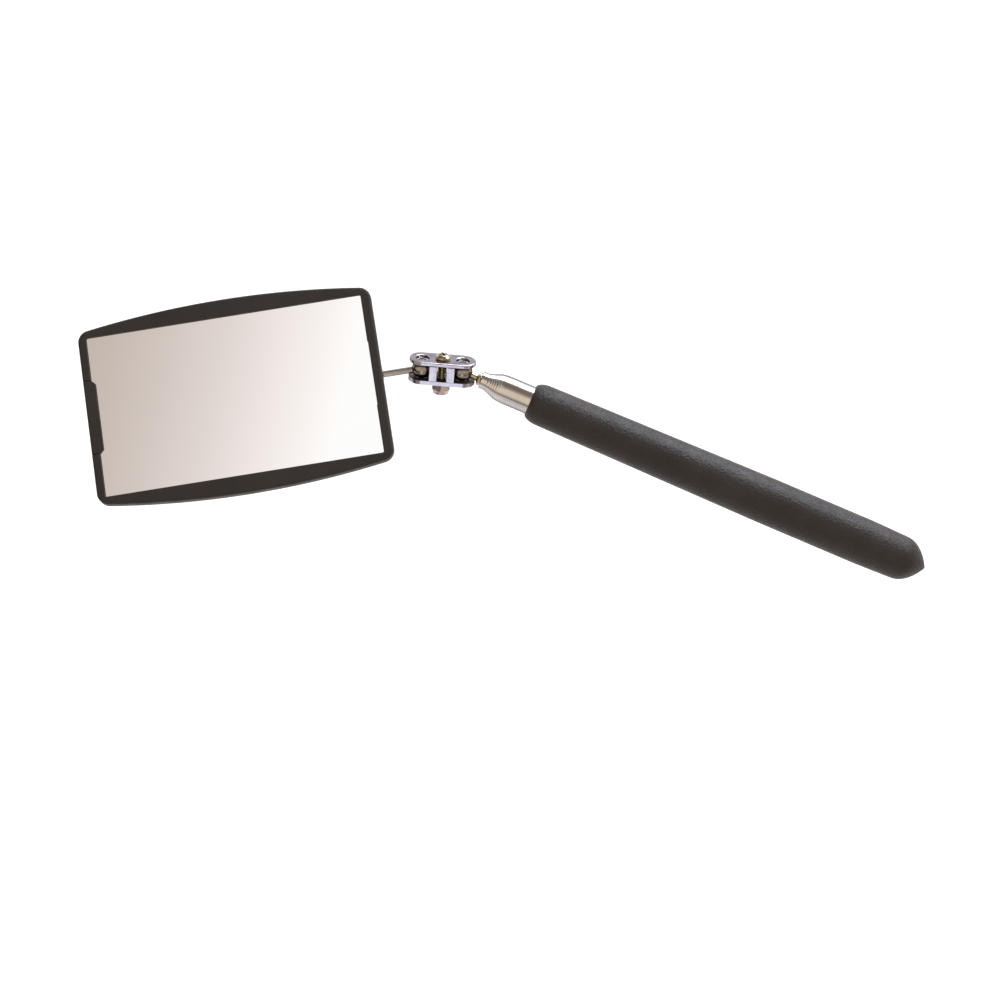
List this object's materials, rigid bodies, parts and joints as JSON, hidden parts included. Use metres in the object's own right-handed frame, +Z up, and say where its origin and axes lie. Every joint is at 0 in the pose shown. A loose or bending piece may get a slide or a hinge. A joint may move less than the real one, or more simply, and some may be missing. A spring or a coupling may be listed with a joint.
{
  "type": "telescoping inspection mirror",
  "caption": "Framed rectangular glass mirror on a double-ball swivel clamp at the tip of a telescoping mast with a long vinyl-covered grip, for looking into spaces out of direct sight.",
  "frame": {"origin": "on the handle's axis, at the middle of the straight cylindrical stretch of the grip", "axes": "+X along the handle from the swivel to the tail, +Z up from the table the tool lies on, +Y completing a right-handed frame"},
  "size_m": [0.2739, 0.094, 0.019],
  "materials": {
    "grip_vinyl": "matte dipped vinyl with a fine grain",
    "chrome": "bright plating with faint lengthwise draw lines",
    "steel": "drawn bright steel",
    "brass": "yellow zinc-plated, satin",
    "nut_metal": "yellow zinc-plated, dull",
    "nylon": "natural nylon",
    "spring_bronze": "thin rolled bronze",
    "frame_plastic": "moulded with a fine matte texture",
    "mirror": "silvered glass with a polished front",
    "foam": "thin soft pad"
  },
  "bodies": {
    "handle": {"grip": "grip_vinyl", "tube_1": "chrome", "end_plug": "steel"},
    "section_2": {"tube_2": "chrome", "friction_spring_2": "spring_bronze"},
    "section_3": {"tube_3": "chrome", "friction_spring_3": "spring_bronze"},
    "section_4": {"tube_4": "chrome", "friction_spring_4": "spring_bronze"},
    "section_5": {"tube_5": "chrome", "friction_spring_5": "spring_bronze"},
    "section_6": {"tube_6": "chrome", "friction_spring_6": "spring_bronze"},
    "section_7": {"tube_7": "chrome", "friction_spring_7": "spring_bronze"},
    "stud": {"mast_stud": "brass"},
    "rear_ball": {"mast_ball": "chrome"},
    "clamp": {"upper_clamp_plate": "chrome", "lower_clamp_plate": "chrome", "clamp_screw": "brass", "lock_nut": "nut_metal", "nut_insert": "nylon"},
    "front_ball": {"mirror_ball": "chrome"},
    "rod": {"mirror_rod": "steel"},
    "head": {"mirror_frame": "frame_plastic", "mirror_glass": "mirror", "glass_pad": "foam"},
    "latch": {"glass_latch": "frame_plastic"}
  },
  "joints": [
    {"name": "section_2_slide", "type": "slide", "parent": "handle", "child": "section_2", "axis": [-1, 0, 0], "range_m": [0, 0.11]},
    {"name": "section_3_slide", "type": "slide", "parent": "section_2", "child": "section_3", "axis": [-1, 0, 0], "range_m": [0, 0.11]},
    {"name": "section_4_slide", "type": "slide", "parent": "section_3", "child": "section_4", "axis": [-1, 0, 0], "range_m": [0, 0.11]},
    {"name": "section_5_slide", "type": "slide", "parent": "section_4", "child": "section_5", "axis": [-1, 0, 0], "range_m": [0, 0.11]},
    {"name": "section_6_slide", "type": "slide", "parent": "section_5", "child": "section_6", "axis": [-1, 0, 0], "range_m": [0, 0.11]},
    {"name": "section_7_slide", "type": "slide", "parent": "section_6", "child": "section_7", "axis": [-1, 0, 0], "range_m": [0, 0.11]},
    {"name": "mast_stud_spin", "type": "hinge", "parent": "section_7", "child": "stud", "pos_m": [-0.121, 0, 0], "axis": [-1, 0, 0], "continuous": true},
    {"name": "mast_ball_tilt", "type": "hinge", "parent": "stud", "child": "rear_ball", "pos_m": [-0.121, 0, 0], "axis": [0, 0.4491, -0.8935], "range_deg": [-1.45, 34.55]},
    {"name": "clamp_swing", "type": "hinge", "parent": "rear_ball", "child": "clamp", "pos_m": [-0.121, 0, 0], "axis": [-0.2849, 0.8564, 0.4305], "range_deg": [-113.15, 96.85]},
    {"name": "mirror_ball_swing", "type": "hinge", "parent": "clamp", "child": "front_ball", "pos_m": [-0.13305, -0.00401, 0], "axis": [0.2849, -0.8564, -0.4305], "range_deg": [-89.01, 100.99]},
    {"name": "mirror_rod_tilt", "type": "hinge", "parent": "front_ball", "child": "rod", "pos_m": [-0.13305, -0.00401, 0], "axis": [-0.2342, 0.3733, -0.8977], "range_deg": [-5.66, 30.34]},
    {"name": "mirror_spin", "type": "hinge", "parent": "rod", "child": "head", "pos_m": [-0.13305, -0.00401, 0], "axis": [-0.8471, -0.5314, 0], "continuous": true},
    {"name": "glass_latch_flex", "type": "hinge", "parent": "head", "child": "latch", "pos_m": [-0.22185, -0.05966, 0.00019], "axis": [0.5158, -0.8223, 0.2402], "range_deg": [0, 14], "stiffness_Nm_per_rad": 0.1}
  ]
}
